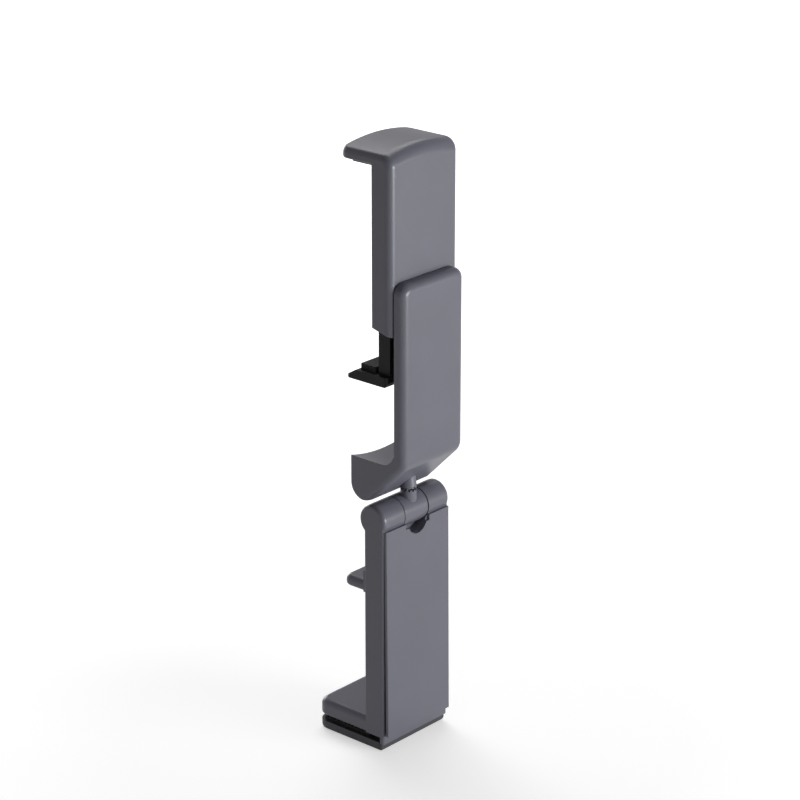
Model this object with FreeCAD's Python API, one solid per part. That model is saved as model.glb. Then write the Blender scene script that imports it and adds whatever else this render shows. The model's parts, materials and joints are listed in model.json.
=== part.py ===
import FreeCAD, Part
import math
import os
from FreeCAD import Vector

# Phone holder: a spring clamp for a phone on a J-shaped arm, which turns on a toothed neck and
# folds on a hinge above a base. The base is itself a spring clamp for a table edge, and its
# closed jaws are the foot that it stands on.
# Millimetres. X runs across the width, -Y is the side that the phone's screen faces, Z is up.
# The origin is on the standing surface, below the axis of the fold hinge.

os.makedirs("parts", exist_ok=True)

# Clearances and the allowances of cutting tools and fused pieces
running = 0.05
sliding = 0.2
seat_gap = 0.05
part_gap = 0.3
past = 1.0
bite = 0.3

# Base clamp
base_width = 34.8
base_wall = 1.8
base_front = 3.5
base_rim = 5.3
base_edge_round = 1.0
base_front_round = 0.8
foot_reach = 23.4
foot_thickness = 6.1
foot_corner = 4.5
foot_nose_round = 2.3
foot_lower_round = 1.1
jaw_gap = 0.5
skirt_height = 3.0
skirt_wall = 1.6
strap_overlap = 2.0
web_thickness = 3.2
pocket_sink = 1.2
guide_length = 30.0
guide_lead = 1.0

# Fold hinge
hinge_height = 88.0
barrel_radius = 5.9
barrel_edge_round = 1.4
knuckle_width = 12.2
knuckle_edge_round = 0.4
pin_radius = 1.6
pin_end_wall = 3.0
hinge_plug_length = 2.4
hinge_plug_radius = 2.8
plug_edge_round = 0.3
washer_thickness = 0.25
washer_radius = 4.9
knuckle_gap = 0.35

# Back cover of the base
cover_bottom = 6.3
cover_drop = 2.9
cover_thickness = 0.95
cover_proud_top = 1.0
cover_proud_bottom = 1.8
cover_side_inset = 0.7
cover_edge_round = 0.35
cover_lip_depth = 1.6
cover_lip_wall = 1.2
cover_lip_inset = 2.0
notch_half_width = 6.2
notch_shoulder_depth = 2.0
notch_radius = 5.0
notch_depth = 5.0
scallop_radius = 5.6
scallop_drop = 2.2
scallop_front = 1.6

# Lower jaw of the base clamp
jaw_plate = 3.5
jaw_travel = 35.0
jaw_rear_gap = 0.9
jaw_lower_round = 1.4
tongue_side_gap = 2.8
tongue_thickness = 2.0
tongue_drop = 8.55
tongue_foot = 1.0
tongue_corner = 2.0
tongue_rib = 1.4
tongue_rib_depth = 2.6
tongue_rib_inset = 4.0
pad_thickness = 0.9
pad_margin = 1.6
pad_rib_height = 0.75
pad_rib_count = 13
pad_rib_crest = 0.4
pad_end_gap = 2.4
pad_sink = 0.4
pad_proud = 0.1

# Thumb tab and its screw
tab_side_inset = 0.9
tab_drop = 10.2
tab_thickness = 4.2
tab_nose = 14.3
tab_round = 2.0
tab_lower_round = 1.5
tab_corner = 3.0
tab_plate_height = 8.2
tab_plate_thickness = 0.9
tab_neck_width = 7.0
tab_neck_height = 6.0
tab_neck_rise = 1.5
tab_neck_depth = 0.8
tab_slot_corner = 0.4
tab_screw_rise = 4.5
tab_screw_radius = 0.8
tab_screw_head_radius = 1.9
tab_screw_head_height = 1.0
tab_screw_skin = 0.4

# Springs of the two clamps
wire_radius = 0.3
bridge_radius = 0.24
coil_radius = 1.2
bridge_shift = 0.15
base_spring_side_gap = 3.8
base_post_clear = 1.5
base_spring_drop = 4.55
base_spring_turns = 11
phone_spring_side_gap = 2.8
phone_spring_rise = 8.1
phone_spring_drop = 9.0
phone_spring_turns = 17
post_radius = 0.9
post_end = 1.2

# Neck and swivel
neck_offset = 1.9
neck_radius = 2.9
collar_top_radius = 2.4
neck_rise = 7.4
tooth_height = 0.8
tooth_count = 12
tooth_share = 0.99
tooth_root = 0.2
tooth_gap = 0.06
screw_radius = 1.3
screw_head_radius = 2.6
screw_head_height = 1.5
screw_head_round = 0.5
screw_head_sink = 0.3
screw_slot_half = 1.5
screw_slot_width = 0.6
screw_slot_depth = 0.9
screw_bottom_gap = 0.8
neck_pocket_radius = 2.9
neck_pocket_depth = 4.7
neck_floor = 1.74
neck_spring_radius = 2.0
neck_spring_wire = 0.3
neck_spring_turns = 3
neck_washer_thickness = 0.3

# Arm
arm_width = 32.0
arm_thickness = 4.2
arm_gap = 0.3
arm_rise = 9.8
arm_corner = 4.0
arm_edge_round = 2.8
saddle_front = 10.6
saddle_lift = 0.4
heel_slope = 45.2
heel_rise = 15.9
heel_bend_radius = 5.5
saddle_floor = 13.4
saddle_radius = 58.5
saddle_bend_radius = 5.6
saddle_stock = 6.0

# Clamp pivot
hub_radius = 4.2
disc_radius = 8.4
disc_thickness = 0.2
retainer_radius = 6.2
retainer_thickness = 1.0
pivot_screw_radius = 1.25
pivot_head_radius = 3.0
pivot_head_height = 1.4
pivot_screw_length = 6.4

# Sleeve of the phone clamp
sleeve_width = 34.8
sleeve_front = 0.35
sleeve_back = 9.0
sleeve_wall = 1.8
sleeve_front_drop = 6.8
sleeve_back_drop = 9.1
sleeve_corner = 2.4
sleeve_front_round = 0.5
hook_side_thickness = 3.75
crown_rise = 2.0
sleeve_back_round = 4.6
hook_reach = 14.4
hook_corner = 4.0
hook_lower_round = 0.7
cavity_rise = 0.65
cavity_corner = 4.0

# Front plate of the sleeve and its screws
front_plate_thickness = 1.3
front_plate_drop = 0.15
plate_screw_offset = 5.0
plate_screw_drop = 2.4
plate_screw_radius = 0.9
plate_boss_radius = 1.7
plate_screw_head_radius = 1.8
plate_screw_head_height = 0.6
plate_screw_sink = 0.1

# Phone slide, its jaw and the soft pads
phone_opening = 70.9
phone_jaw_drop = 21.65
jaw_pad_proud = 2.15
phone_jaw_thickness = 3.5
jaw_reach = 11.9
jaw_nose_height = 0.6
jaw_nose_depth = 4.8
jaw_corner = 2.5
jaw_rear_step = 1.4
jaw_rear_slant = 0.8
jaw_pad_sink = 0.6
jaw_pad_inset = 0.8
hook_pad_sink = 1.2
hook_pad_proud = 0.9
hook_pad_front = 9.7
hook_pad_round = 0.4
pad_side = 2.0
slide_rail_width = 3.8
slide_rail_length = 54.6
slide_web = 1.1


def block(x0, x1, y0, y1, z0, z1):
    return Part.makeBox(x1 - x0, y1 - y0, z1 - z0, Vector(x0, y0, z0))


def both_sides(inner, outer, y0, y1, z0, z1):
    """The same block on the left and on the right."""
    left = block(-outer, -inner, y0, y1, z0, z1)
    return [left, block(inner, outer, y0, y1, z0, z1)]


def rod_x(y, z, radius, x0, x1):
    return Part.makeCylinder(radius, x1 - x0, Vector(x0, y, z), Vector(1, 0, 0))


def rod_y(x, z, radius, y0, y1):
    return Part.makeCylinder(radius, y1 - y0, Vector(x, y0, z), Vector(0, 1, 0))


def rod_z(x, y, radius, z0, z1):
    return Part.makeCylinder(radius, z1 - z0, Vector(x, y, z0), Vector(0, 0, 1))


def side_profile(points, half_width):
    """A closed outline of (y, z) points, extruded across the width."""
    corners = [Vector(-half_width, y, z) for y, z in points]
    face = Part.Face(Part.makePolygon(corners + corners[:1]))
    return face.extrude(Vector(2 * half_width, 0, 0))


def is_along(edge, axis):
    """True for a straight edge that runs along one of the three axes."""
    if not isinstance(edge.Curve, Part.Line):
        return False
    return near(abs(getattr(edge.Curve.Direction, axis)), 1)


def near(value, target):
    return abs(value - target) < 0.02


def round_where(shape, radius, test):
    """Fillet the edges that pass the test, which is given an edge and its middle."""
    chosen = [e for e in shape.Edges if test(e, e.CenterOfMass)]
    return shape.makeFillet(radius, chosen)


def cut_all(shape, tools):
    for tool in tools:
        shape = shape.cut(tool)
    return shape


def fuse_all(shapes):
    whole = shapes[0]
    for other in shapes[1:]:
        whole = whole.fuse(other)
    return whole.removeSplitter()


def save(name, shape):
    if shape.ShapeType == "Compound" and len(shape.Solids) == 1:
        shape = shape.Solids[0]
    shape.exportStep("parts/" + name + ".step")
    print(name, shape.isValid(), len(shape.Solids), "solid", round(shape.Volume, 1), "mm3")


# Levels and faces that more than one piece uses
half_base = base_width / 2
upper_foot_bottom = jaw_plate + pad_thickness + pad_rib_height + jaw_gap
foot_top = upper_foot_bottom + foot_thickness
foot_nose = -(base_front + foot_reach)
pocket_half = half_base - base_wall
pocket_front = -base_front + base_wall
gap_half = knuckle_width / 2 + knuckle_gap
gap_radius = barrel_radius + knuckle_gap
pocket_top = hinge_height - gap_radius - web_thickness
cover_top = hinge_height - cover_drop
scallop_height = hinge_height - scallop_drop
tongue_top = pocket_top - tongue_drop
tab_bottom = tongue_top - tab_drop
tongue_front = pocket_front + sliding
tongue_back = tongue_front + tongue_thickness
tongue_half = pocket_half - tongue_side_gap
base_spring_offset = tongue_half - tongue_rib - base_spring_side_gap
strap_front = base_rim - skirt_wall
post_back = base_rim - base_edge_round
base_spring_top = pocket_top - base_spring_drop
base_spring_bottom = foot_top + strap_overlap + jaw_travel + post_radius + base_post_clear
pad_half = half_base - pad_margin
pad_front = foot_nose + pad_end_gap
foot_pad_back = -base_front - past
tab_plate_back = -base_front - part_gap
tab_neck_bottom = tab_bottom + tab_neck_rise
tab_neck_top = tab_neck_bottom + tab_neck_height
tab_screw_height = tab_bottom + tab_screw_rise
screw_bottom = hinge_height + pin_radius + screw_bottom_gap
neck_part_height = hinge_height + neck_rise
collar_bottom = neck_part_height + 2 * tooth_height + tooth_gap
saddle_bottom = hinge_height + barrel_radius + saddle_lift
heel_bend_height = saddle_bottom + heel_rise
saddle_low = saddle_bottom + saddle_floor
pivot_height = saddle_low + saddle_radius
arm_top = pivot_height + arm_rise
neck_pocket_floor = saddle_low - neck_pocket_depth
collar_top = neck_pocket_floor - neck_floor
head_bottom = saddle_low - screw_head_sink - screw_head_height
arm_front = sleeve_back + arm_gap
arm_back = arm_front + arm_thickness
half_arm = arm_width / 2
half_sleeve = sleeve_width / 2
cavity_half = half_sleeve - sleeve_wall
cavity_front = sleeve_front + front_plate_thickness
cavity_back = sleeve_back - sleeve_wall
hub_end = cavity_back - seat_gap
sleeve_bottom_front = pivot_height - sleeve_front_drop
sleeve_bottom_back = pivot_height - sleeve_back_drop
phone_jaw_top = pivot_height - phone_jaw_drop
jaw_plastic_top = phone_jaw_top - jaw_pad_proud
jaw_bottom = jaw_plastic_top - phone_jaw_thickness
jaw_nose_top = jaw_bottom + jaw_nose_height
slide_rail_top = jaw_plastic_top + slide_rail_length
hook_under = phone_jaw_top + phone_opening
hook_plastic = hook_under + hook_pad_proud
sleeve_side_top = hook_plastic + hook_side_thickness
sleeve_crown = sleeve_side_top + crown_rise
cavity_top = hook_plastic + cavity_rise
front_plate_top = hook_under - front_plate_drop
plate_screw_height = front_plate_top - plate_screw_drop
phone_spring_bottom = jaw_plastic_top + phone_spring_rise
phone_spring_top = cavity_top - phone_spring_drop
slide_half = cavity_half - sliding
phone_spring_offset = slide_half - slide_rail_width - phone_spring_side_gap
slide_front = cavity_front + sliding
slide_back = cavity_back - sliding
web_back = slide_front + slide_web
phone_spring_plane = (cavity_back + web_back) / 2
base_spring_plane = (tongue_back + base_rim) / 2


def make_base_shell():
    """Front wall, side walls, upper foot and the two outer knuckles, moulded as one."""
    column = block(-half_base, half_base, -base_front, base_rim, upper_foot_bottom, hinge_height)
    column = round_where(column, base_edge_round, lambda e, c: is_along(e, "z") and near(c.y, base_rim))
    column = round_where(column, base_front_round, lambda e, c: is_along(e, "z") and near(c.y, -base_front))
    foot = block(-half_base, half_base, foot_nose, base_rim, upper_foot_bottom, foot_top)
    foot = round_where(foot, foot_corner, lambda e, c: is_along(e, "z") and near(c.y, foot_nose))
    foot = round_where(foot, base_edge_round, lambda e, c: is_along(e, "z") and near(c.y, base_rim))
    foot = round_where(foot, foot_nose_round, lambda e, c: near(c.z, foot_top) and c.y < -base_front)
    toe_end = foot_nose + foot_corner
    foot = round_where(foot, foot_lower_round, lambda e, c: near(c.z, upper_foot_bottom) and c.y < toe_end)
    barrel = rod_x(0, hinge_height, barrel_radius, -half_base, half_base)
    barrel = barrel.makeFillet(barrel_edge_round, [e for e in barrel.Edges if not is_along(e, "x")])
    strap = block(-half_base, half_base, strap_front, base_rim, skirt_height, foot_top + strap_overlap)
    strap = round_where(strap, base_edge_round, lambda e, c: is_along(e, "z") and near(c.y, base_rim))
    shell = fuse_all([column, foot, barrel, strap])

    pocket_low = foot_top - pocket_sink
    pocket = block(-pocket_half, pocket_half, pocket_front, base_rim + past, pocket_low, pocket_top)
    pocket = round_where(pocket, base_edge_round, lambda e, c: is_along(e, "y"))
    opening_half = tongue_half + sliding
    opening = block(-opening_half, opening_half, pocket_front, strap_front, skirt_height - past, foot_top)
    middle_gap = rod_x(0, hinge_height, gap_radius, -gap_half, gap_half)
    slot_half = tab_neck_width / 2 + sliding
    slot_low = tab_neck_bottom - jaw_travel - sliding
    slot_top = tab_neck_top + sliding
    slot = block(-slot_half, slot_half, -base_front - past, pocket_front + past, slot_low, slot_top)
    slot = round_where(slot, tab_slot_corner, lambda e, c: is_along(e, "y"))
    seat_top = upper_foot_bottom + pad_thickness
    pad_seat = block(-pad_half, pad_half, pad_front, foot_pad_back, upper_foot_bottom - past, seat_top)
    scallop = rod_y(0, scallop_height, scallop_radius, scallop_front, base_rim + past)
    pin_hole = rod_x(0, hinge_height, pin_radius, -half_base - past, half_base - pin_end_wall)
    plug_end = -half_base + hinge_plug_length
    plug_seat = rod_x(0, hinge_height, hinge_plug_radius, -half_base - past, plug_end)
    shell = cut_all(shell, [pocket, opening, middle_gap, slot, pad_seat, scallop, pin_hole, plug_seat])

    guide_low = pocket_low - bite
    guide_back = tongue_back + guide_lead
    guide_top = foot_top + guide_length
    guide_front = pocket_front - bite
    added = both_sides(opening_half, pocket_half + bite, guide_front, guide_back, guide_low, guide_top)
    for x in (-base_spring_offset, base_spring_offset):
        added.append(rod_y(x, base_spring_top, post_radius, guide_front, post_back))
    return fuse_all([shell] + added)


def make_back_cover():
    """Rear plate of the base, with inner lips and the notch that the neck swings into."""
    half = half_base - cover_side_inset
    outer_top = base_rim + cover_proud_top
    outer_bottom = base_rim + cover_proud_bottom
    inner_top = outer_top - cover_thickness
    inner_bottom = outer_bottom - cover_thickness
    outline = [
        (inner_top, cover_top),
        (outer_top, cover_top),
        (outer_bottom, cover_bottom),
        (inner_bottom, cover_bottom),
    ]
    plate = side_profile(outline, half)
    plate = round_where(plate, cover_edge_round, lambda e, c: c.y > inner_bottom and near(abs(c.x), half))
    lip_half = pocket_half - seat_gap
    lip_low = foot_top + guide_length + cover_lip_inset
    lip_top = pocket_top - cover_lip_inset
    lip_front = base_rim - cover_lip_depth
    lip = [
        (lip_front, lip_top),
        (inner_top + bite, lip_top),
        (inner_bottom + bite, lip_low),
        (lip_front, lip_low),
    ]
    inside = lip_half - cover_lip_wall
    middle = block(-inside, inside, 0, outer_bottom, lip_low, lip_top)
    cover = fuse_all([plate, side_profile(lip, lip_half).cut(middle)])
    barrel_room = rod_x(0, hinge_height, barrel_radius + seat_gap, -half_base, half_base)
    shoulder_low = cover_top - notch_shoulder_depth
    shoulder = block(-notch_half_width, notch_half_width, 0, outer_bottom, shoulder_low, hinge_height)
    notch_middle = cover_top - notch_depth + notch_radius
    round_notch = rod_y(0, notch_middle, notch_radius, 0, outer_bottom)
    return cut_all(cover, [barrel_room, shoulder, round_notch])


def make_tray_slide():
    """Lower foot of the base clamp with the tongue that runs inside the shell."""
    rear = base_rim - jaw_rear_gap
    foot = block(-half_base, half_base, foot_nose, rear, 0, jaw_plate)
    foot = round_where(foot, foot_corner, lambda e, c: is_along(e, "z") and near(c.y, foot_nose))
    foot = round_where(foot, base_edge_round, lambda e, c: is_along(e, "z") and near(c.y, rear))
    foot = round_where(foot, jaw_lower_round, lambda e, c: near(c.z, 0) and c.y < foot_nose + foot_corner)
    strap_room = block(
        -half_base, half_base, strap_front - sliding, base_rim, skirt_height - part_gap, jaw_plate
    )
    pad_seat = block(-pad_half, pad_half, pad_front, pocket_front - past, jaw_plate - pad_sink, jaw_plate)
    tongue = block(-tongue_half, tongue_half, tongue_front, tongue_back, tongue_foot, tongue_top)
    tongue = round_where(tongue, tongue_corner, lambda e, c: is_along(e, "y") and near(c.z, tongue_top))
    rib_back = min(tongue_back + tongue_rib_depth, strap_front - sliding)
    rib_low = tongue_foot + bite
    rib_top = tongue_top - tongue_rib_inset
    pieces = [foot.cut(strap_room).cut(pad_seat), tongue]
    rib_front = tongue_back - bite
    pieces += both_sides(tongue_half - tongue_rib, tongue_half, rib_front, rib_back, rib_low, rib_top)
    for x in (-base_spring_offset, base_spring_offset):
        pieces.append(rod_y(x, base_spring_bottom, post_radius, rib_front, post_back))
    window_back = tongue_front + tab_neck_depth
    half = tab_neck_width / 2
    neck_window = block(-half, half, tongue_front - past, window_back, tab_neck_bottom, tab_neck_top)
    screw_hole = rod_y(0, tab_screw_height, tab_screw_radius, tongue_front - past, tongue_back + past)
    return cut_all(fuse_all(pieces), [neck_window, screw_hole])


def make_ribbed_pad():
    """Soft pad of the lower foot, with ribs across the width of the jaw."""
    front = pad_front + seat_gap
    back = pocket_front - past - seat_gap
    half = pad_half - seat_gap
    top = jaw_plate + pad_thickness
    pieces = [block(-half, half, front, back, jaw_plate - pad_sink, top)]
    pitch = (back - front) / pad_rib_count
    crest = top + pad_rib_height
    for i in range(pad_rib_count):
        middle = front + (i + 0.5) * pitch
        rib = [
            (middle - pitch / 4, top - pad_proud),
            (middle - pad_rib_crest / 2, crest),
            (middle + pad_rib_crest / 2, crest),
            (middle + pitch / 4, top - pad_proud),
        ]
        pieces.append(side_profile(rib, half))
    return fuse_all(pieces)


def make_foot_pad():
    """Flat soft pad let into the underside of the upper foot."""
    half = pad_half - seat_gap
    front = pad_front + seat_gap
    back = foot_pad_back - seat_gap
    return block(-half, half, front, back, upper_foot_bottom - pad_proud, upper_foot_bottom + pad_thickness)


def make_thumb_tab():
    """Full-width finger ledge on the front, with a neck through the slot of the front wall."""
    half = half_base - tab_side_inset
    face = tab_plate_back - tab_plate_thickness
    ledge_top = tab_bottom + tab_thickness
    plate = block(-half, half, face, tab_plate_back, tab_bottom, tab_bottom + tab_plate_height)
    ledge = block(-half, half, -tab_nose, tab_plate_back, tab_bottom, ledge_top)
    ledge = round_where(ledge, tab_corner, lambda e, c: is_along(e, "z") and near(c.y, -tab_nose))
    ledge = round_where(ledge, tab_round, lambda e, c: near(c.z, ledge_top) and c.y < tab_plate_back - past)
    ledge = round_where(ledge, tab_lower_round, lambda e, c: near(c.z, tab_bottom) and near(c.y, -tab_nose))
    neck_half = tab_neck_width / 2
    neck_back = tongue_front + tab_neck_depth
    neck = block(-neck_half, neck_half, tab_plate_back - bite, neck_back, tab_neck_bottom, tab_neck_top)
    hole = rod_y(0, tab_screw_height, tab_screw_radius, face + tab_screw_skin, neck_back + past)
    return fuse_all([plate, ledge, neck]).cut(hole)


def make_tab_screw():
    tip = tab_plate_back - tab_plate_thickness + tab_screw_skin
    shank = rod_y(0, tab_screw_height, tab_screw_radius, tip, tongue_back)
    head_back = tongue_back + tab_screw_head_height
    head = rod_y(0, tab_screw_height, tab_screw_head_radius, tongue_back, head_back)
    return fuse_all([shank, head])


def make_coil(x, y, z0, z1, mean_radius, turns, wire):
    """A helix of round wire that stands along Z."""
    helix = Part.makeHelix((z1 - z0) / turns, z1 - z0, mean_radius)
    circle = Part.Wire(Part.makeCircle(wire, Vector(mean_radius, 0, 0), Vector(0, 1, 0)))
    coil = Part.Wire(helix).makePipeShell([circle], True, True)
    coil.translate(Vector(x, y, z0))
    return coil


def make_extension_spring(x, y, z_low, z_high, turns):
    """Coil with an eye at each end, one round each post."""
    eye = post_radius + wire_radius + seat_gap
    low = z_low + eye
    high = z_high - eye
    pieces = [make_coil(x, y, low, high, coil_radius, turns, wire_radius)]
    for centre, level in ((z_low, low - bridge_shift), (z_high, high + bridge_shift)):
        pieces.append(Part.makeTorus(eye, wire_radius, Vector(x, y, centre), Vector(0, 1, 0)))
        pieces.append(rod_x(y, level, bridge_radius, x, x + coil_radius))
    return pieces[0].fuse(pieces[1:])


def crown_teeth(z, height, phase):
    """A ring of pointed teeth round the neck, upward for a positive height."""
    step = 360.0 / tooth_count
    root = z - math.copysign(tooth_root, height)
    tip = z + height
    bore = screw_radius + bite
    teeth = []
    for i in range(tooth_count):
        rings = []
        for radius in (bore / 2, neck_radius + bite):
            half = tooth_share * radius * math.tan(math.radians(step / 2))
            corners = [Vector(radius, -half, root), Vector(radius, half, root), Vector(radius, 0, tip)]
            rings.append(Part.makePolygon(corners + corners[:1]))
        tooth = Part.makeLoft(rings, True, True)
        tooth.rotate(Vector(0, 0, 0), Vector(0, 0, 1), step * i + phase)
        teeth.append(tooth)
    low = min(root, tip) - past
    high = max(root, tip) + past
    tube = rod_z(0, 0, neck_radius, low, high).cut(rod_z(0, 0, bore, low - past, high + past))
    ring = fuse_all(teeth).common(tube)
    ring.translate(Vector(0, neck_offset, 0))
    return ring


def make_centre_knuckle():
    """Middle of the hinge barrel with the lower half of the neck, crowned with teeth."""
    half = knuckle_width / 2
    barrel = rod_x(0, hinge_height, barrel_radius, -half, half)
    barrel = barrel.makeFillet(knuckle_edge_round, [e for e in barrel.Edges if not is_along(e, "x")])
    neck = rod_z(0, neck_offset, neck_radius, hinge_height, neck_part_height)
    body = fuse_all([barrel, neck, crown_teeth(neck_part_height, tooth_height, 0)])
    bore = rod_x(0, hinge_height, pin_radius + running, -half - past, half + past)
    screw_hole = rod_z(0, neck_offset, screw_radius, screw_bottom, collar_bottom)
    return cut_all(body, [bore, screw_hole])


def make_collar_body():
    """The cone of the upper half of the neck, which its seat in the arm matches."""
    foot = Vector(0, neck_offset, collar_bottom)
    return Part.makeCone(neck_radius, collar_top_radius, collar_top - collar_bottom, foot)


def make_swivel_collar():
    """Upper half of the neck, seated in the underside of the arm, with teeth that face down."""
    collar = fuse_all([make_collar_body(), crown_teeth(collar_bottom, -tooth_height, 180.0 / tooth_count)])
    bore = rod_z(0, neck_offset, screw_radius + running, neck_part_height, collar_top + past)
    return collar.cut(bore)


def make_arm():
    """J-shaped carrier: flat plate, sloping heel, and the saddle that the clamp's top turns in."""
    stock_top = saddle_low + saddle_stock
    slope = math.radians(heel_slope)
    toe = heel_bend_height - (arm_back + saddle_front) * math.tan(slope)
    belly_radius = (saddle_bottom - toe) / (1 / math.cos(slope) + math.tan(slope) - 1)
    outline = [
        (arm_front, arm_top),
        (arm_back, arm_top),
        (arm_back, heel_bend_height),
        (-saddle_front, toe),
        (-saddle_front, stock_top),
        (arm_front, stock_top),
    ]
    blank = side_profile(outline, half_arm)
    limit = round_where(blank, belly_radius, lambda e, c: is_along(e, "x") and near(c.z, toe))
    bend = [e for e in blank.Edges if is_along(e, "x") and near(e.CenterOfMass.z, heel_bend_height)]
    arm = blank.makeFillet(heel_bend_radius, bend)
    arm = round_where(arm, arm_corner, lambda e, c: is_along(e, "y") and near(c.z, arm_top))
    arm = round_where(arm, arm_edge_round, lambda e, c: is_along(e, "z") and near(c.y, arm_back))
    hub = rod_y(0, pivot_height, hub_radius, hub_end, arm_front + past)
    arm = fuse_all([arm.common(limit).cut(make_saddle_space()), hub])
    screw_end = hub_end + pivot_screw_length - retainer_thickness
    tools = [
        rod_y(0, pivot_height, pivot_screw_radius, hub_end - past, screw_end),
        rod_z(0, neck_offset, neck_pocket_radius, neck_pocket_floor, stock_top),
        rod_z(0, neck_offset, screw_radius + running, collar_bottom, neck_pocket_floor + past),
        rod_z(0, neck_offset, neck_radius + sliding, saddle_bottom - past, collar_bottom + tooth_root),
        make_collar_body(),
    ]
    return cut_all(arm, tools)


def make_saddle_space():
    """Space over the saddle that the clamp sweeps as it turns about its pivot."""
    front = -saddle_front - past
    bend = saddle_bend_radius
    low = -saddle_radius
    inset = bend * (1 - math.sqrt(0.5))
    bend_start = Vector(0, arm_front - bend, low)
    bend_middle = Vector(0, arm_front - inset, low + inset)
    bend_end = Vector(0, arm_front, low + bend)
    lines = [
        Part.LineSegment(Vector(0, front, 0), Vector(0, front, low)),
        Part.LineSegment(Vector(0, front, low), bend_start),
        Part.Arc(bend_start, bend_middle, bend_end),
        Part.LineSegment(bend_end, Vector(0, arm_front, 0)),
        Part.LineSegment(Vector(0, arm_front, 0), Vector(0, front, 0)),
    ]
    face = Part.Face(Part.Wire([line.toShape() for line in lines]))
    space = face.revolve(Vector(0, 0, 0), Vector(0, 1, 0), 360)
    space.translate(Vector(0, 0, pivot_height))
    high = pivot_height - hub_radius
    return space.common(block(-arm_width, arm_width, front, arm_front, saddle_bottom, high))


def make_swivel_spring():
    low = neck_pocket_floor + neck_spring_wire
    high = head_bottom - neck_washer_thickness - neck_spring_wire
    return make_coil(0, neck_offset, low, high, neck_spring_radius, neck_spring_turns, neck_spring_wire)


def make_swivel_washer():
    low = head_bottom - neck_washer_thickness
    ring = rod_z(0, neck_offset, screw_head_radius, low, head_bottom)
    return ring.cut(rod_z(0, neck_offset, screw_radius + running, low - past, head_bottom + past))


def make_swivel_screw():
    """Cross-slotted screw that holds the two toothed halves together."""
    top = head_bottom + screw_head_height
    shank = rod_z(0, neck_offset, screw_radius, screw_bottom, head_bottom)
    head = rod_z(0, neck_offset, screw_head_radius, head_bottom, top)
    head = round_where(head, screw_head_round, lambda e, c: near(c.z, top))
    screw = fuse_all([shank, head])
    low = top - screw_slot_depth
    long = screw_slot_half
    short = screw_slot_width / 2
    for across, along in ((long, short), (short, long)):
        slot = block(-across, across, neck_offset - along, neck_offset + along, low, top + past)
        screw = screw.cut(slot)
    return screw


def make_hinge_pin():
    return rod_x(0, hinge_height, pin_radius, -half_base + hinge_plug_length, half_base - pin_end_wall)


def make_hinge_plug():
    plug = rod_x(0, hinge_height, hinge_plug_radius, -half_base, -half_base + hinge_plug_length)
    return round_where(plug, plug_edge_round, lambda e, c: near(c.x, -half_base))


def make_friction_washer(side):
    """Thin washer between the middle knuckle and an outer one."""
    middle = side * (knuckle_width / 2 + running + washer_thickness / 2)
    low = middle - washer_thickness / 2
    high = middle + washer_thickness / 2
    ring = rod_x(0, hinge_height, washer_radius, low, high)
    return ring.cut(rod_x(0, hinge_height, pin_radius + running, low - past, high + past))


def make_sleeve():
    """Outer shell of the phone clamp with its arched top and hook, open at the bottom."""
    low = sleeve_bottom_back - past
    front = -hook_reach
    side_foot = Vector(half_sleeve, front, low)
    side_end = Vector(half_sleeve, front, sleeve_side_top)
    other_foot = Vector(-half_sleeve, front, low)
    other_end = Vector(-half_sleeve, front, sleeve_side_top)
    lines = [
        Part.LineSegment(other_foot, side_foot),
        Part.LineSegment(side_foot, side_end),
        Part.Arc(side_end, Vector(0, front, sleeve_crown), other_end),
        Part.LineSegment(other_end, other_foot),
    ]
    face = Part.Face(Part.Wire([line.toShape() for line in lines]))
    solid = face.extrude(Vector(0, sleeve_back - front, 0))
    side_top = sleeve_side_top
    solid = round_where(solid, sleeve_back_round, lambda e, c: near(c.y, sleeve_back) and c.z > side_top)
    solid = round_where(solid, hook_corner, lambda e, c: is_along(e, "z") and near(c.y, front))
    solid = round_where(solid, sleeve_corner, lambda e, c: is_along(e, "z") and near(c.y, sleeve_back))
    below_hook = block(-sleeve_width, sleeve_width, front - past, sleeve_front, low - past, hook_plastic)
    solid = solid.cut(below_hook)
    tip = front + past
    solid = round_where(solid, hook_lower_round, lambda e, c: near(c.z, hook_plastic) and c.y < tip)
    solid = round_where(solid, sleeve_front_round, lambda e, c: is_along(e, "z") and near(c.y, sleeve_front))

    slant = [
        (sleeve_front - past, sleeve_bottom_front),
        (sleeve_front, sleeve_bottom_front),
        (sleeve_back, sleeve_bottom_back),
        (sleeve_back + past, sleeve_bottom_back),
        (sleeve_back + past, low - past),
        (sleeve_front - past, low - past),
    ]
    cavity = block(-cavity_half, cavity_half, cavity_front, cavity_back, low - past, cavity_top)
    cavity = round_where(cavity, cavity_corner, lambda e, c: is_along(e, "y") and near(c.z, cavity_top))
    pad_edge = half_sleeve - pad_side
    pad_top = hook_plastic + hook_pad_sink
    tools = [
        side_profile(slant, sleeve_width),
        cavity,
        block(-cavity_half, cavity_half, 0, cavity_front + bite, low - past, front_plate_top),
        rod_y(0, pivot_height, hub_radius + running, cavity_front, sleeve_back + past),
        block(-pad_edge, pad_edge, -hook_pad_front, sleeve_front, hook_under, pad_top),
    ]
    solid = cut_all(solid, tools)
    added = []
    for side in (-1, 1):
        x = side * phone_spring_offset
        post_front = phone_spring_plane - post_end
        added.append(rod_y(x, phone_spring_top, post_radius, post_front, cavity_back + bite))
        x = side * plate_screw_offset
        boss = rod_y(x, plate_screw_height, plate_boss_radius, cavity_front, cavity_back + bite)
        added.append(boss.cut(rod_y(x, plate_screw_height, plate_screw_radius, 0, phone_spring_plane)))
    return fuse_all([solid] + added)


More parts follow.
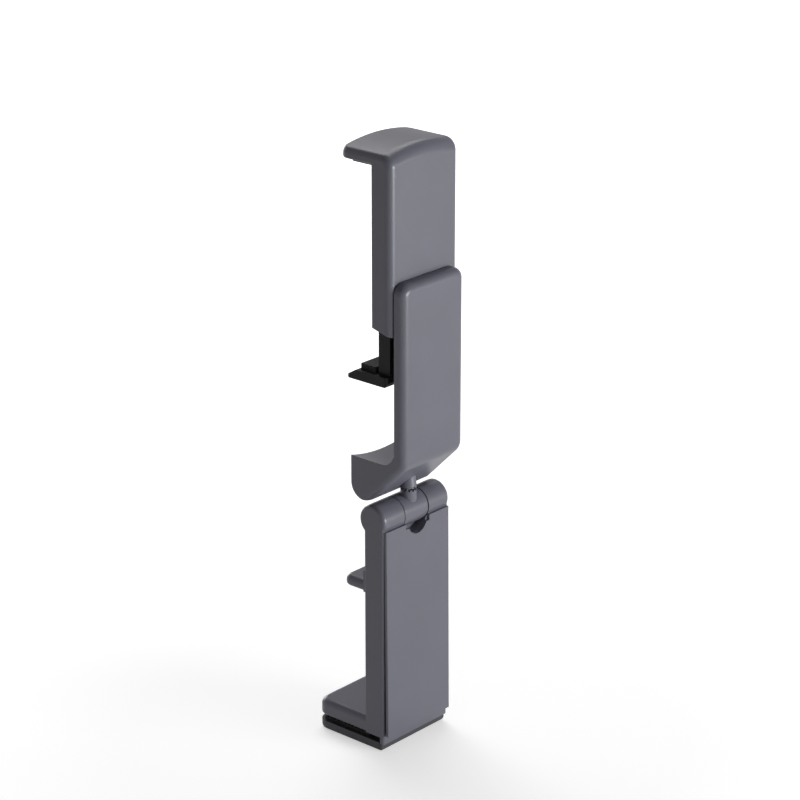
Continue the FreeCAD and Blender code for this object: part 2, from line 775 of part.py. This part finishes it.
def make_hook_pad():
    """Soft pad under the hook."""
    half = half_sleeve - pad_side - seat_gap
    front = -hook_pad_front + seat_gap
    pad = block(-half, half, front, sleeve_front - seat_gap, hook_under, hook_plastic + hook_pad_sink)
    return round_where(pad, hook_pad_round, lambda e, c: near(c.z, hook_under) and near(c.y, front))


def make_front_plate():
    """Flat plate that closes the sleeve behind the phone."""
    half = cavity_half - seat_gap
    low = sleeve_bottom_front + part_gap
    plate = block(-half, half, sleeve_front, cavity_front, low, front_plate_top - seat_gap)
    sink = sleeve_front + plate_screw_sink + plate_screw_head_height
    for x in (-plate_screw_offset, plate_screw_offset):
        plate = plate.cut(rod_y(x, plate_screw_height, plate_screw_radius, 0, cavity_front + past))
        plate = plate.cut(rod_y(x, plate_screw_height, plate_screw_head_radius, 0, sink))
    return plate


def make_front_plate_screws():
    screws = []
    top = sleeve_front + plate_screw_sink
    seat = top + plate_screw_head_height
    for x in (-plate_screw_offset, plate_screw_offset):
        head = rod_y(x, plate_screw_height, plate_screw_head_radius, top, seat)
        shank = rod_y(x, plate_screw_height, plate_screw_radius, seat, phone_spring_plane)
        screws.append(fuse_all([head, shank]))
    return Part.makeCompound(screws)


def make_phone_slide():
    """Inner slide: two rails on a thin web, and the lower jaw that the phone stands on."""
    outline = [
        (-jaw_reach, jaw_bottom),
        (-jaw_reach, jaw_nose_top),
        (-jaw_reach + jaw_nose_depth, jaw_plastic_top),
        (slide_back, jaw_plastic_top),
        (slide_back, jaw_bottom + jaw_rear_step),
        (slide_back - jaw_rear_slant, jaw_bottom),
    ]
    plan = block(-half_sleeve, half_sleeve, -jaw_reach, slide_back, jaw_bottom, jaw_plastic_top)
    plan = round_where(plan, jaw_corner, lambda e, c: is_along(e, "z") and near(c.y, -jaw_reach))
    plan = round_where(plan, base_edge_round, lambda e, c: is_along(e, "z") and near(c.y, slide_back))
    jaw = side_profile(outline, half_sleeve).common(plan)
    root = jaw_plastic_top - bite
    pieces = [jaw, block(-slide_half, slide_half, slide_front, web_back, root, slide_rail_top)]
    rail_inner = slide_half - slide_rail_width
    pieces += both_sides(rail_inner, slide_half, slide_front, slide_back, root, slide_rail_top)
    post_back_end = phone_spring_plane + post_end
    for x in (-phone_spring_offset, phone_spring_offset):
        pieces.append(rod_y(x, phone_spring_bottom, post_radius, web_back - bite, post_back_end))
    edge = half_sleeve - pad_side
    seat_front = -jaw_reach + jaw_nose_depth + jaw_pad_inset
    seat_low = jaw_plastic_top - jaw_pad_sink
    return fuse_all(pieces).cut(block(-edge, edge, seat_front, sleeve_front, seat_low, jaw_plastic_top))


def make_jaw_pad():
    """Soft pad that the lower edge of the phone stands on."""
    half = half_sleeve - pad_side - seat_gap
    front = -jaw_reach + jaw_nose_depth + jaw_pad_inset + seat_gap
    low = jaw_plastic_top - jaw_pad_sink
    return block(-half, half, front, sleeve_front - seat_gap, low, phone_jaw_top)


def make_pivot_washer():
    low = hub_end - retainer_thickness
    ring = rod_y(0, pivot_height, retainer_radius, low, hub_end)
    return ring.cut(rod_y(0, pivot_height, pivot_screw_radius, low - past, hub_end + past))


def make_pivot_screw():
    seat = hub_end - retainer_thickness
    shank = rod_y(0, pivot_height, pivot_screw_radius, seat, seat + pivot_screw_length)
    head = rod_y(0, pivot_height, pivot_head_radius, seat - pivot_head_height, seat)
    return fuse_all([shank, head])


def make_friction_disc():
    """Thin disc in the gap between the sleeve and the arm."""
    low = sleeve_back + (arm_gap - disc_thickness) / 2
    disc = rod_y(0, pivot_height, disc_radius, low, low + disc_thickness)
    return disc.cut(rod_y(0, pivot_height, hub_radius + running, low - past, low + past))


save("base_shell", make_base_shell())
save("back_cover", make_back_cover())
save("foot_pad", make_foot_pad())
save("tray_slide", make_tray_slide())
save("ribbed_pad", make_ribbed_pad())
save("thumb_tab", make_thumb_tab())
save("tab_screw", make_tab_screw())
for word, side in (("left", -1), ("right", 1)):
    x = side * base_spring_offset
    low, high = base_spring_bottom, base_spring_top
    spring = make_extension_spring(x, base_spring_plane, low, high, base_spring_turns)
    save("tray_spring_" + word, spring)
    x = side * phone_spring_offset
    low, high = phone_spring_bottom, phone_spring_top
    spring = make_extension_spring(x, phone_spring_plane, low, high, phone_spring_turns)
    save("phone_spring_" + word, spring)
    save("friction_washer_" + word, make_friction_washer(side))
save("hinge_pin", make_hinge_pin())
save("hinge_plug", make_hinge_plug())
save("centre_knuckle", make_centre_knuckle())
save("swivel_collar", make_swivel_collar())
save("swivel_screw", make_swivel_screw())
save("swivel_washer", make_swivel_washer())
save("swivel_spring", make_swivel_spring())
save("arm", make_arm())
save("friction_disc", make_friction_disc())
save("pivot_washer", make_pivot_washer())
save("pivot_screw", make_pivot_screw())
save("sleeve", make_sleeve())
save("hook_pad", make_hook_pad())
save("front_plate", make_front_plate())
save("front_plate_screws", make_front_plate_screws())
save("phone_slide", make_phone_slide())
save("jaw_pad", make_jaw_pad())
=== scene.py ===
import json
import math

import bpy
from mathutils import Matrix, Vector


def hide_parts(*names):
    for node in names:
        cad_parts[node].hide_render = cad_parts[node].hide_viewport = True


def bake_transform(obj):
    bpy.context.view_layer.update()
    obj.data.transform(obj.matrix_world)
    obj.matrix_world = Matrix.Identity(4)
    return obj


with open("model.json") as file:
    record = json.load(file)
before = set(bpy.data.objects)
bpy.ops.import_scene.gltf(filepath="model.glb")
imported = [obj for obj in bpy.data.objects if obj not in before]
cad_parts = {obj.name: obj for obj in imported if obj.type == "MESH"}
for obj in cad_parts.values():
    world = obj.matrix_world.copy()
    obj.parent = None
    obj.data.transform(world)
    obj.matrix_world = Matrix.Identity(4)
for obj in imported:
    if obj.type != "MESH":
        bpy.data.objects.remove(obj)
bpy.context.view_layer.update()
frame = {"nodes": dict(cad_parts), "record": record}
nodes = frame["nodes"]

# Sizes of the moulded grain, in metres
grain_size = 0.00035
grain_height = 0.00012
tone_patch = 0.022
gloss_patch = 0.006

# Sizes of the marks on wire and screws, in metres, and how far they are drawn out along Z
drawing_mark = 0.00018
drawing_mark_height = 0.00003
drawing_stretch = 0.12
metal_patch = 0.002

# Where the fine grain, and the slower noise, have nearly all of their values
grain_low = 0.35
grain_high = 0.65
noise_low = 0.3
noise_high = 0.7

# How far the grain, the drift and the drawing marks go from a material's dark colour to its light one
speckle_reach = 0.06
drift_dark = 0.36
drift_light = 0.64
mark_dark = 0.3
mark_light = 0.7

# The floor: its own glow grows from near the holder to further off, and hides where the floor ends
floor_width = 6.0
floor_drop = 0.0002
floor_grey = 0.9
floor_roughness = 0.85
floor_specular = 0.1
lift_starts = 0.1
lift_ends = 0.6
near_lift = 0.52
far_lift = 1.0
floor_in_gloss = 0.5

# The world: its strength on the holder, behind it, and in reflections, pale low down, dark overhead
room_light = 0.16
backdrop_white = 1.0
mirrored_low = 0.5
mirrored_overhead = 0.08
turn_starts = 0.42
turn_ends = 0.6

# Softboxes: place, width, height and power; all face the middle of the holder
holder_middle = (0.0, 0.0, 0.11)
softboxes = {
    "back_softbox": ((-0.3, 1.0, 0.12), 0.6, 0.23, 7.9),
    "top_softbox": ((-0.2, -0.22, 0.6), 0.4, 0.4, 1.3),
    "front_softbox": ((-0.4, -1.0, 0.2), 0.6, 0.38, 3.0),
}

# The photograph's view: a long lens from behind and one side, a little above
focal_length = 126.0
sensor_width = 36.0
nearest_seen = 0.05
camera_place = (0.6836, 0.6008, 0.4652)
camera_azimuth = 131.409
camera_elevation = 20.314


# Node helpers

def new_group(name):
    """A shader node group that takes a bump depth and gives a normal, a tone and a gloss."""
    group = bpy.data.node_groups.new(name, "ShaderNodeTree")
    group.interface.new_socket("Depth", in_out="INPUT", socket_type="NodeSocketFloat")
    group.interface.new_socket("Normal", in_out="OUTPUT", socket_type="NodeSocketVector")
    group.interface.new_socket("Tone", in_out="OUTPUT", socket_type="NodeSocketFloat")
    group.interface.new_socket("Gloss", in_out="OUTPUT", socket_type="NodeSocketFloat")
    entry = group.nodes.new("NodeGroupInput")
    leave = group.nodes.new("NodeGroupOutput")
    return group, entry, leave


def put(tree, kind, **values):
    """A new node, with its settings and unlinked inputs given by name."""
    node = tree.nodes.new(kind)
    for label, value in values.items():
        if hasattr(node, label):
            setattr(node, label, value)
        else:
            node.inputs[label.replace("_", " ")].default_value = value
    return node


def noise(tree, place, size, detail=2.0, roughness=0.5):
    """Noise whose patches are about this size, in metres."""
    node = put(tree, "ShaderNodeTexNoise", Scale=1.0 / size, Detail=detail, Roughness=roughness)
    tree.links.new(place, node.inputs["Vector"])
    return node.outputs["Fac"]


def remap(tree, value, low, high, to_low, to_high):
    """The value taken from one range to another, and held at the ends."""
    node = put(tree, "ShaderNodeMapRange", From_Min=low, From_Max=high, To_Min=to_low, To_Max=to_high)
    tree.links.new(value, node.inputs["Value"])
    return node.outputs["Result"]


def bump_from(group, entry, height, distance):
    """The normal of a surface with this height map, as deep as the group's Depth input says."""
    bump = put(group, "ShaderNodeBump", Distance=distance)
    group.links.new(height, bump.inputs["Height"])
    group.links.new(entry.outputs["Depth"], bump.inputs["Strength"])
    return bump.outputs["Normal"]


# Shared effects

def make_moulded_grain():
    """Fine spark-eroded grain of a moulded part, with slow drifts of tone and gloss."""
    group, entry, leave = new_group("moulded_grain")
    place = put(group, "ShaderNodeTexCoord").outputs["Object"]
    grain = noise(group, place, grain_size, detail=3.0, roughness=0.6)
    drift = noise(group, place, tone_patch)
    flow = noise(group, place, gloss_patch, detail=3.0)
    speckle = remap(group, grain, grain_low, grain_high, -speckle_reach, speckle_reach)
    cloud = remap(group, drift, noise_low, noise_high, drift_dark, drift_light)
    tone = put(group, "ShaderNodeMath", operation="ADD")
    group.links.new(speckle, tone.inputs[0])
    group.links.new(cloud, tone.inputs[1])
    gloss = remap(group, flow, noise_low, noise_high, 0.0, 1.0)
    group.links.new(bump_from(group, entry, grain, grain_height), leave.inputs["Normal"])
    group.links.new(tone.outputs["Value"], leave.inputs["Tone"])
    group.links.new(gloss, leave.inputs["Gloss"])
    return group


def make_drawn_metal():
    """Faint drawing marks and a slow change of gloss on plated wire and screws."""
    group, entry, leave = new_group("drawn_metal")
    place = put(group, "ShaderNodeTexCoord").outputs["Object"]
    along = put(group, "ShaderNodeMapping", Scale=(1.0, 1.0, drawing_stretch))
    group.links.new(place, along.inputs["Vector"])
    marks = noise(group, along.outputs["Vector"], drawing_mark)
    patches = noise(group, place, metal_patch)
    tone = remap(group, marks, noise_low, noise_high, mark_dark, mark_light)
    gloss = remap(group, patches, noise_low, noise_high, 0.0, 1.0)
    group.links.new(bump_from(group, entry, marks, drawing_mark_height), leave.inputs["Normal"])
    group.links.new(tone, leave.inputs["Tone"])
    group.links.new(gloss, leave.inputs["Gloss"])
    return group


moulded_grain = make_moulded_grain()
drawn_metal = make_drawn_metal()


# Finishes

def finish(name, effect, depth, dark, light, gloss, **shader):
    """A material whose colour runs from dark to light and whose roughness spans the gloss pair."""
    material = bpy.data.materials.new(name)
    material.use_nodes = True
    tree = material.node_tree
    surface = tree.nodes["Principled BSDF"]
    for label, value in shader.items():
        surface.inputs[label.replace("_", " ")].default_value = value
    texture = put(tree, "ShaderNodeGroup", node_tree=effect)
    texture.inputs["Depth"].default_value = depth
    colour = put(tree, "ShaderNodeMix", data_type="RGBA")
    colour.inputs["A"].default_value = (*dark, 1.0)
    colour.inputs["B"].default_value = (*light, 1.0)
    tree.links.new(texture.outputs["Tone"], colour.inputs["Factor"])
    tree.links.new(colour.outputs["Result"], surface.inputs["Base Color"])
    tree.links.new(remap(tree, texture.outputs["Gloss"], 0.0, 1.0, *gloss), surface.inputs["Roughness"])
    tree.links.new(texture.outputs["Normal"], surface.inputs["Normal"])
    return material


finishes = {
    "satin_plastic": finish(
        "satin_plastic",
        moulded_grain,
        depth=0.14,
        dark=(0.132, 0.132, 0.164),
        light=(0.164, 0.164, 0.204),
        gloss=(0.31, 0.345),
    ),
    # The slide's near-black colour is partly its own and partly painted shade, darkened for the shadow of
    # a phone held above it
    "dark_plastic": finish(
        "dark_plastic",
        moulded_grain,
        depth=0.14,
        dark=(0.006, 0.006, 0.007),
        light=(0.011, 0.011, 0.013),
        gloss=(0.4, 0.5),
        Specular_IOR_Level=0.2,
    ),
    "soft_rubber": finish(
        "soft_rubber",
        moulded_grain,
        depth=0.5,
        dark=(0.012, 0.012, 0.013),
        light=(0.024, 0.024, 0.025),
        gloss=(0.74, 0.88),
    ),
    "bright_steel": finish(
        "bright_steel",
        drawn_metal,
        depth=0.2,
        dark=(0.36, 0.36, 0.38),
        light=(0.47, 0.47, 0.49),
        gloss=(0.29, 0.4),
        Metallic=1.0,
    ),
    "spring_steel": finish(
        "spring_steel",
        drawn_metal,
        depth=0.4,
        dark=(0.28, 0.28, 0.30),
        light=(0.38, 0.38, 0.40),
        gloss=(0.3, 0.44),
        Metallic=1.0,
    ),
}

# The lower foot is a little paler than the slide, and the plate's screws are blackened
foot_plastic = finish(
    "foot_plastic",
    moulded_grain,
    depth=0.14,
    dark=(0.046, 0.046, 0.052),
    light=(0.064, 0.064, 0.072),
    gloss=(0.4, 0.52),
)
black_steel = finish(
    "black_steel",
    drawn_metal,
    depth=0.2,
    dark=(0.04, 0.04, 0.043),
    light=(0.06, 0.06, 0.064),
    gloss=(0.38, 0.5),
    Metallic=1.0,
)
own_finish = {"tray_slide": foot_plastic, "front_plate_screws": black_steel}

for part in frame["record"]["subparts"]:
    node = nodes[part["node"]]
    material = own_finish.get(part["node"], finishes[part["material_slot"]])
    node.data.materials.clear()
    node.data.materials.append(material)


# Springs, each shown by a copy of its own mesh

def stretch_spring(name):
    """A copy of the spring's mesh in its place, with the original part hidden."""
    node = nodes[name]
    spring = bpy.data.objects.new(name.replace("spring", "coil"), node.data.copy())
    bpy.context.scene.collection.objects.link(spring)
    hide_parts(name)
    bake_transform(spring)


for side in ("left", "right"):
    stretch_spring("tray_spring_" + side)
    stretch_spring("phone_spring_" + side)


# Floor, light and camera

def make_floor():
    """A pale floor that keeps the shadow and shows near white to the camera and in reflections."""
    bpy.ops.mesh.primitive_plane_add(size=floor_width, location=(0.0, 0.0, -floor_drop))
    floor = bpy.context.object
    floor.name = "floor"
    material = bpy.data.materials.new("pale_floor")
    material.use_nodes = True
    tree = material.node_tree
    surface = tree.nodes["Principled BSDF"]
    surface.inputs["Base Color"].default_value = (floor_grey, floor_grey, floor_grey, 1.0)
    surface.inputs["Roughness"].default_value = floor_roughness
    surface.inputs["Specular IOR Level"].default_value = floor_specular
    surface.inputs["Emission Color"].default_value = (1.0, 1.0, 1.0, 1.0)
    path = put(tree, "ShaderNodeLightPath")
    seen = put(tree, "ShaderNodeMath", operation="MAXIMUM")
    tree.links.new(path.outputs["Is Camera Ray"], seen.inputs[0])
    mirrored = remap(tree, path.outputs["Is Glossy Ray"], 0.0, 1.0, 0.0, floor_in_gloss)
    tree.links.new(mirrored, seen.inputs[1])
    distance = put(tree, "ShaderNodeVectorMath", operation="LENGTH")
    tree.links.new(put(tree, "ShaderNodeTexCoord").outputs["Object"], distance.inputs[0])
    level = remap(tree, distance.outputs["Value"], lift_starts, lift_ends, near_lift, far_lift)
    lift = put(tree, "ShaderNodeMath", operation="MULTIPLY")
    tree.links.new(seen.outputs["Value"], lift.inputs[0])
    tree.links.new(level, lift.inputs[1])
    tree.links.new(lift.outputs["Value"], surface.inputs["Emission Strength"])
    floor.data.materials.append(material)


def make_world():
    """A dim room whose backdrop is white to the camera, and pale low down in reflections."""
    world = bpy.data.worlds.new("studio")
    world.use_nodes = True
    tree = world.node_tree
    sky = tree.nodes["Background"]
    sky.inputs["Color"].default_value = (1.0, 1.0, 1.0, 1.0)
    path = put(tree, "ShaderNodeLightPath")
    height = put(tree, "ShaderNodeSeparateXYZ")
    tree.links.new(put(tree, "ShaderNodeTexCoord").outputs["Generated"], height.inputs["Vector"])
    mirrored = remap(
        tree, height.outputs["Z"], turn_starts, turn_ends, mirrored_low, mirrored_overhead
    )
    strength = put(tree, "ShaderNodeMix", data_type="FLOAT")
    strength.inputs["A"].default_value = room_light
    tree.links.new(mirrored, strength.inputs["B"])
    tree.links.new(path.outputs["Is Glossy Ray"], strength.inputs["Factor"])
    behind = put(tree, "ShaderNodeMix", data_type="FLOAT")
    behind.inputs["B"].default_value = backdrop_white
    tree.links.new(strength.outputs["Result"], behind.inputs["A"])
    tree.links.new(path.outputs["Is Camera Ray"], behind.inputs["Factor"])
    tree.links.new(behind.outputs["Result"], sky.inputs["Strength"])
    bpy.context.scene.world = world


def add_softbox(name, place, width, height, power):
    """A soft lamp of this size in metres and power in watts, facing the middle of the holder."""
    light = bpy.data.lights.new(name, "AREA")
    light.shape = "RECTANGLE"
    light.size = width
    light.size_y = height
    light.energy = power
    lamp = bpy.data.objects.new(name, light)
    lamp.location = place
    facing = Vector(holder_middle) - Vector(place)
    lamp.rotation_euler = facing.to_track_quat("-Z", "Y").to_euler()
    bpy.context.scene.collection.objects.link(lamp)


def place_camera():
    lens = bpy.data.cameras.new("camera")
    lens.lens = focal_length
    lens.sensor_width = sensor_width
    lens.clip_start = nearest_seen
    camera = bpy.data.objects.new("camera", lens)
    camera.location = camera_place
    tilt = math.radians(90.0 - camera_elevation)
    camera.rotation_euler = (tilt, 0.0, math.radians(camera_azimuth))
    bpy.context.scene.collection.objects.link(camera)
    bpy.context.scene.camera = camera


make_floor()
make_world()
for name, (place, width, height, power) in softboxes.items():
    add_softbox(name, place, width, height, power)
place_camera()
bpy.context.scene.view_settings.view_transform = "Standard"
